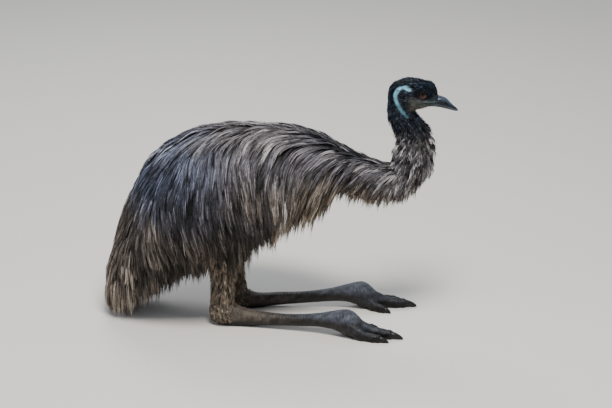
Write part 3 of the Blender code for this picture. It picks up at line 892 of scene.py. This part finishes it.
def lean_at(x, z):
    """The plumage's lean by place: an average of the table, by the inverse fourth power."""
    far = (x[:, None] - LIE[:, 0]) ** 2 + (z[:, None] - LIE[:, 1]) ** 2 + 0.00025
    weight = far**-2.0
    return np.radians((weight * LIE[:, 2]).sum(axis=1) / weight.sum(axis=1))


def plume_wish(place, turn, points, back):
    """The way a feather wants to lie: leaning as the table says, and outward from the parting."""
    around = from_spine(turn)
    lean = lean_at(points[:, 0], points[:, 2])
    outward = np.sign(np.sin(turn)) * 0.3 * fall(around, 0.02, 0.25)
    way = np.stack([-np.sin(lean), outward, -np.cos(lean)], axis=1)
    along_body = (fall(around, 0.0, 0.08) * fall(place, 15.0, 17.0))[:, None]
    return way * (1 - along_body) + back * along_body


def plume_colours(points, place, turn):
    """The plumage's colours by place on the body, with painted light among them, before each lock
    gets its own shade.
    """
    x, y, z = points.T
    around = from_spine(turn)
    # The upper back is painted a bluish grey, partly its grey plumage and partly a painted sheen;
    # the spine pale as a painted highlight on the top of the back; the rump a deeper blue as a
    # painted reflection of the sky
    upper_side = marked(
        COAT["brown"], COAT,
        upper=fall(around, 0.24, 0.4) * ramp(x, -0.4, -0.25),
        spine=fall(around, 0.1, 0.2) * ramp(x, -0.36, -0.22),
        rump=ramp(z, 0.33, 0.43) * fall(x, -0.22, -0.05) * 0.85)
    # The top of the rump is painted brighter still, as a painted highlight
    upper_side *= (1 + 0.6 * ramp(z, 0.45, 0.51) * fall(x, -0.26, -0.16))[:, None]
    behind = fall(x, 0.0, 0.05)
    # A slanting band across the middle of the flank is painted near black as a painted shadow, and
    # the lower sides a darker brown, partly browner plumage and partly painted shade
    shadow = bell((z - 0.385 + 0.25 * (x + 0.1)) / 0.06) * ramp(x, -0.34, -0.24)
    # A dark band between the flank and the wing, and a spot above the wing, are painted as painted
    # shade between the parts
    gap = bell((x + 0.004) / 0.012) * ramp(z, 0.28, 0.32) * fall(z, 0.48, 0.54)
    gap += bell((x - 0.052) / 0.009, (z - 0.465) / 0.04)
    found = marked(
        upper_side, COAT,
        flank=shadow * behind * ramp(around, 0.22, 0.34) * 0.9,
        under=(ramp(around, 0.4, 0.6) * ramp(x, -0.36, -0.28) * behind
               * fall(z, 0.33, 0.4)),
        tail=fall(x, -0.43, -0.36),
        # The lower end of the tail and the hem under the breast are painted pale tan, partly their
        # own colour and partly painted light that lifts the shade near the floor
        tail_tip=fall(x, -0.42, -0.28) * fall(z, 0.1, 0.24),
        breast=ramp(around, 0.34, 0.6) * ramp(x, 0.03, 0.12),
        belly=ramp(around, 0.56, 0.7) * ramp(x, -0.02, 0.03) * fall(x, 0.16, 0.22) * 0.8,
        parting=fall(around, 0.04, 0.14) * ramp(x, 0.04, 0.16),
        gap=gap * 0.8,
        neck=ramp(place, 13.5, 16.0) * (1 - ramp(around, 0.45, 0.8) * 0.6),
        collar=ramp(z, 0.455, 0.49) * ramp(x, 0.29, 0.31) * 0.8,
        upper_neck=ramp(z, 0.548, 0.575),
        head=ramp(z, 0.585, 0.61))
    return found * (1 + 0.2 * mottle(points, 0.16, 1) + 0.12 * mottle(points, 0.05, 4))[:, None]


def lock_shades(many, pale_share, dark_share):
    """A brightness for each lock: most near 1, some clearly pale and some nearly black."""
    kind = rng.uniform(0, 1, many)
    shade = np.exp(rng.normal(0, 0.34, many))
    shade = np.where(kind < pale_share, rng.uniform(2.0, 3.9, many), shade)
    return np.where(kind > 1 - dark_share, rng.uniform(0.08, 0.34, many), shade)


def strand_shades(owner, spread, middle=0.0):
    """A brightness for each strand of the locks, spread round e to the power of the middle."""
    return np.exp(rng.normal(middle, spread, len(owner)))[:, None]


def coat_density(place, turn, points):
    """How thickly locks grow: nearly three times as thick on the neck, thinner on the belly."""
    belly = ramp(from_spine(turn), 0.72, 0.9) * fall(place, 11, 13)
    return 1.0 + 1.9 * ramp(place, 12.0, 15.0) - 0.45 * belly


LOCKS, STRANDS_IN_LOCK = 8900, 11
roots, turns = scatter(body_point, (1.0, 21.4), coat_density, LOCKS)
around = from_spine(turns)
on_neck = ramp(roots, 14.0, 19.0)
beside_spine = fall(around, 0.1, 0.25)
start = body_point(roots, turns, np.zeros(LOCKS))
# Locks are longest beside the shanks and a little longer under the breast, and none of them but
# the shortest is longer than its root is high above the floor
under = ramp(around, 0.5, 0.65) * (roots < 13)
longer = under * bell((start[:, 0] + 0.1) / 0.04)
lock_length = (0.1 - 0.03 * ramp(roots, 10.5, 13.5) - 0.036 * ramp(roots, 15.0, 20.0)
               + 0.02 * fall(roots, 2.0, 4.5))
lock_length = (lock_length * rng.uniform(0.75, 1.2, LOCKS) + 0.044 * longer
               + 0.018 * under * bell((start[:, 0] - 0.035) / 0.04))
ground_gap = body_point(roots, turns, np.full(LOCKS, 0.3))[:, 2]
lock_length = np.minimum(lock_length, np.maximum(ground_gap * 0.98, 0.03))
# Pale locks lie on top, partly as painted highlights on the strands, and nearly black ones lie
# deeper, partly as painted shade between the locks; a few on the neck stand out
shades = lock_shades(LOCKS, 0.17, 0.34)
crest = 0.8 + 0.1 * np.clip(np.log(shades), -1.5, 1.2) + rng.uniform(-0.12, 0.12, LOCKS)
frizz = ramp(roots, 15.5, 18.5) * rng.uniform(0, 1, LOCKS) ** 4
crest = crest - 0.1 * beside_spine * (roots < 15) + 1.2 * frizz
guides, guide_normals = comb(
    body_point, plume_wish, roots, turns, lock_length, 6, rng.uniform(-0.05, 0.25, LOCKS),
    crest, 0.05 - 0.35 * ramp(roots, 3.5, 7.0), rng.uniform(0.35, 1.15, LOCKS) + 0.35 * longer)
start = guides[:, 0]
bands = mottle(start * (1.0, 0.6, 0.1), 0.05, 7)
wings = bell((start[:, 0] - 0.036) / 0.024, (start[:, 2] - 0.385) / 0.06)
shades = shades * np.exp(0.38 * bands * ramp(around, 0.08, 0.2))
shades = shades * (1 + 4.6 * wings * (rng.uniform(0, 1, LOCKS) < 0.7))
shades = shades ** (1 + 0.2 * on_neck)
edges, owner = strands(
    guides, guide_normals, STRANDS_IN_LOCK, 0.0074 - 0.0032 * on_neck, 0.74 - 0.25 * on_neck,
    0.0018, 0.003 - 0.0012 * beside_spine + 0.0008 * on_neck + 0.006 * frizz, 0.55)
# Two strands in five of a pale lock stay dark, so that it doesn't read as one flat blade
part_pale = np.where((shades[owner] > 1.8) & (rng.uniform(0, 1, len(owner)) < 0.4), 0.42, 1.0)
colours = plume_colours(start, roots, turns) * shades[:, None]
colours = colours[owner] * part_pale[:, None] * strand_shades(owner, 0.46, -0.06)
on_side = around < 0.62
regions = {"tail": roots < 3.6, "neck_upper": roots > 16.0, "neck_lower": roots > 11.6,
           "back": around < 0.24, "flank_left": (turns > 0) & on_side,
           "flank_right": (turns < 0) & on_side, "belly": ~on_side}
region = np.select(list(regions.values()), list(regions))[owner]
for name in regions:
    chosen = region == name
    coat_piece(f"coat_{name}", edges[chosen], colours[chosen].clip(0.003, 0.5), owner[chosen],
               roots, turns)

# THE HEAD'S BRISTLES
# Short black hair-like feathers cover the crown, nape and throat, stand up over the forehead,
# thin out on the cheeks and leave the pale band behind the ear, the lids and the bill bare.
BRISTLE = {"cheek": (0.085, 0.076, 0.064), "ear": (0.006, 0.007, 0.009),
           "sheen": (0.03, 0.044, 0.068)}


def bristle_density(place, turn, points):
    """How thickly bristles grow: full on the crown, nape and throat, thin on the face."""
    x, y, z = points.T
    above_chin = ramp(z, 0.612, 0.624)
    cheek = ramp(x, 0.35, 0.368) * fall(z, 0.652, 0.664) * above_chin
    lores = ramp(x, 0.402, 0.413) * fall(z, 0.66, 0.668) * above_chin
    full = (1 - 0.72 * cheek) * (1 - 0.65 * on_temple(x, z)) * (1 - 0.85 * lores)
    full = full * (1 + 0.8 * ramp(x, 0.4, 0.415))
    return full * (1 + 0.8 * fall(from_spine(turn), 0.1, 0.3))


def on_bare_skin(points):
    """True where no bristle may lie: the pale band, the eye and its lids, and the bill."""
    x, y, z = points.T
    side = np.abs(y) > 0.012
    half_band = rng.uniform(0.75, 1.1, len(x)) * (0.0054 - 0.0024 * fall(z, 0.615, 0.64))
    eye = np.hypot((x - EYE_CENTRE[0]) / 0.0125, (z - EYE_CENTRE[2] + 0.0008) / 0.0098) < 1
    bill = (x > 0.422) & (z < 0.664 - 0.5 * (x - 0.424))
    gape = (x > 0.398) & (np.abs(z - 0.645) < 0.0045)
    return ((near_band(x, z) < half_band) | eye | gape) & side | bill


def bristle_wish(place, turn, points, back):
    """Bristles lie back over the head, and over the forehead they stand and lean outward."""
    front = ramp(points[:, 0], 0.4, 0.425)
    way = back * (1 - 1.1 * front)[:, None]
    way[:, 2] += 0.55 * front - 0.15
    way[:, 1] += 0.3 * front * np.sign(points[:, 1])
    return way


BRISTLES = 10500
roots, turns = scatter(body_point, (20.4, 31.35), bristle_density, BRISTLES)
x, y, z = body_point(roots, turns, np.zeros(BRISTLES)).T
top = fall(from_spine(turns), 0.12, 0.34)
cheek = ramp(x, 0.35, 0.365) * fall(z, 0.655, 0.668) * ramp(z, 0.612, 0.622)
lock_length = 0.019 + 0.008 * top - 0.011 * cheek - 0.004 * ramp(x, 0.4, 0.425)
lock_length = lock_length * rng.uniform(0.55, 1.25, BRISTLES)
# Bristles stand highest on the forehead and the nape, and some stick out of the upper neck
wild = rng.uniform(0, 1, BRISTLES) ** 3
crest = (0.55 + 0.3 * rng.uniform(0, 1, BRISTLES) + 0.55 * wild - 0.28 * top - 0.3 * cheek
         + 1.05 * ramp(x, 0.398, 0.42) * rng.uniform(0.3, 1, BRISTLES)
         + 0.45 * bell((x - 0.325) / 0.01) * top + 1.5 * wild * fall(roots, 22.5, 24.0))
guides, guide_normals = comb(body_point, bristle_wish, roots, turns, lock_length, 4, -0.1, crest)
kept = ~(on_bare_skin(guides[:, 0]) | on_bare_skin(guides[:, 2]) | on_bare_skin(guides[:, 4]))
guides, guide_normals, roots, turns, cheek = (
    v[kept] for v in (guides, guide_normals, roots, turns, cheek))
locks = len(guides)
edges, owner = strands(guides, guide_normals, 4, np.full(locks, 0.002), 0.35, 0.0008,
                       0.0013 - 0.001 * cheek, 0.7)
x, y, z = guides[:, 0].T
by_eye = fall(round_eye(x, z), 0.9, 1.2)
# A few pale bristles are tinted blue as painted sheen on the crown, and those over the ear opening
# are painted near black as its painted shade
pale = lock_shades(locks, 0.16, 0.25)
colours = marked(plume_colours(guides[:, 0], roots, turns), BRISTLE,
                 cheek=cheek * (1 - by_eye) * 0.85, ear=fall(round_ear(x, z), 0.8, 1.2),
                 sheen=0.6 * (pale > 1.9) * (1 - cheek))
colours = (colours * np.minimum(pale, 2.0)[:, None])[owner] * strand_shades(owner, 0.4)
for name, chosen in (("left", turns[owner] > 0), ("right", turns[owner] <= 0)):
    coat_piece(f"coat_head_{name}", edges[chosen], colours[chosen].clip(0.002, 0.85),
               owner[chosen], roots, turns)

# THE SHANK FEATHERS
# Short olive brown feathers clothe each shank down to the hock, lying flat and pointing down,
# and end in a ragged edge over the first scales.


def shank_surface(which):
    """The shank's surface as a function of height, turn and level above the skin."""
    def point(place, turn, level):
        _, middle, half_along, half_across = smooth_table(SHANK, place).T
        thick = 0.009 * level
        along = middle - shank_back(which, place) + (half_along + thick) * np.cos(turn)
        return on_leg(which, along, (half_across + thick) * np.sin(turn), place)
    return point


def hock_surface(which):
    """The surface of the hock and tarsus, where place is 1 and the distance along the leg."""
    def point(place, turn, level):
        _, top, bottom, half = tarsus_rows(which, place - 1).T
        thick = 0.005 * level
        across, up = section(half + thick, top + thick, bottom - thick, turn, FULL_SIDES)
        return on_leg(which, place - 1, across, up)
    return point


def evenly(place, turn, points):
    """Feathers that grow as thickly everywhere."""
    return 1.0


def thinner_below(place, turn, points):
    """Feathers that thin out along the tarsus and towards the ground."""
    return fall(place, 1.025, 1.08) * ramp(points[:, 2], 0.006, 0.03)


def shank_wish(place, turn, points, back):
    """Straight down the shank, and down and forward over the hock."""
    way = np.zeros_like(points)
    way[:, 0] = 0.55 * (place > 1)
    way[:, 2] = -1.0
    return way


SHANK_COAT = {"brown": (0.26, 0.205, 0.148), "grey": (0.12, 0.105, 0.088)}
# Surface, its places, count of locks, their density, shortest and longest, highest level
SHANK_PARTS = ((shank_surface, (0.038, 0.27), 2100, evenly, (0.016, 0.032), 1.15),
               (hock_surface, (1.003, 1.08), 800, thinner_below, (0.008, 0.016), 0.8))
for which in LEGS:
    locks_made = []
    for surface, places, count, density, lengths, high in SHANK_PARTS:
        roots, turns = scatter(surface(which), places, density, count)
        lock_length = rng.uniform(*lengths, count)
        made = comb(surface(which), shank_wish, roots, turns, lock_length, 3, 0.0,
                    rng.uniform(0.4, high, count))
        locks_made.append((*made, roots, turns))
    guides, guide_normals, roots, turns = (np.concatenate(v) for v in zip(*locks_made))
    on_hock = roots > 1
    edges, owner = strands(guides, guide_normals, 5, 0.004 - 0.002 * on_hock, 0.3,
                           np.repeat(0.001 - 0.00045 * on_hock, 5), 0.0022 - 0.0014 * on_hock, 0.5)
    colours = marked(SHANK_COAT["brown"], SHANK_COAT, grey=rng.uniform(0, 1, len(roots)))
    colours = colours * lock_shades(len(roots), 0.06, 0.15)[:, None]
    colours = colours[owner] * strand_shades(owner, 0.3)
    coat_piece(f"coat_shank_{which}", edges, colours.clip(0.003, 0.85), owner,
               roots - 0.8 * on_hock, turns)

# THE FLOOR, THE LIGHTS AND THE CAMERA
# The bird sits on a plain pale floor in soft studio light, seen from its right side, slightly
# ahead and from above.
FLOOR_HALF = 40.0
floor_mesh = new_mesh("floor", np.array([[-1, -1, 0], [1, -1, 0], [1, 1, 0], [-1, 1, 0]])
                      * FLOOR_HALF, np.array([[0, 1, 2, 3]]))
floor_material, shader = new_material("studio_floor", {"Base Color": (0.7, 0.67, 0.63, 1),
                                                       "Roughness": 0.9})
floor_mesh.materials.append(floor_material)
new_object("floor", floor_mesh)

world = bpy.data.worlds.new("studio")
bpy.context.scene.world = world
world.use_nodes = True
sky = world.node_tree.nodes["Background"]
sky.inputs["Color"].default_value = (0.86, 0.91, 1.0, 1)
sky.inputs["Strength"].default_value = 0.44
LIGHTS_AIM = Vector((0, 0, 0.3))
# Name, position, size, power and colour of each soft light, all aimed at the bird
for name, spot, size, power, tone in (
        ("key", (0.5, -1.5, 3.6), 1.1, 185.0, (1.0, 0.97, 0.92)),
        ("fill", (-2.6, -1.8, 1.8), 2.2, 16.0, (0.88, 0.93, 1.0)),
        ("rim", (-1.0, 2.2, 3.0), 1.6, 60.0, (0.92, 0.96, 1.0))):
    lamp = bpy.data.lights.new(name, "AREA")
    lamp.size, lamp.energy, lamp.color = size, power, tone
    light = new_object(name, lamp)
    light.location = spot
    light.rotation_mode = "QUATERNION"
    light.rotation_quaternion = (LIGHTS_AIM - Vector(spot)).to_track_quat("-Z", "Y")

AZIMUTH, ELEVATION, DISTANCE = math.radians(8.0), math.radians(21.0), 5.5
CAMERA_AIM = Vector((0.0815, 0.0, 0.335))
back = Vector((math.sin(AZIMUTH) * math.cos(ELEVATION), -math.cos(AZIMUTH) * math.cos(ELEVATION),
               math.sin(ELEVATION)))
lens = bpy.data.cameras.new("camera")
lens.lens = 119.8
lens.sensor_width = 36.0
camera = new_object("camera", lens)
camera.location = CAMERA_AIM + back * DISTANCE
camera.rotation_mode = "QUATERNION"
camera.rotation_quaternion = (-back).to_track_quat("-Z", "Y")
bpy.context.scene.camera = camera
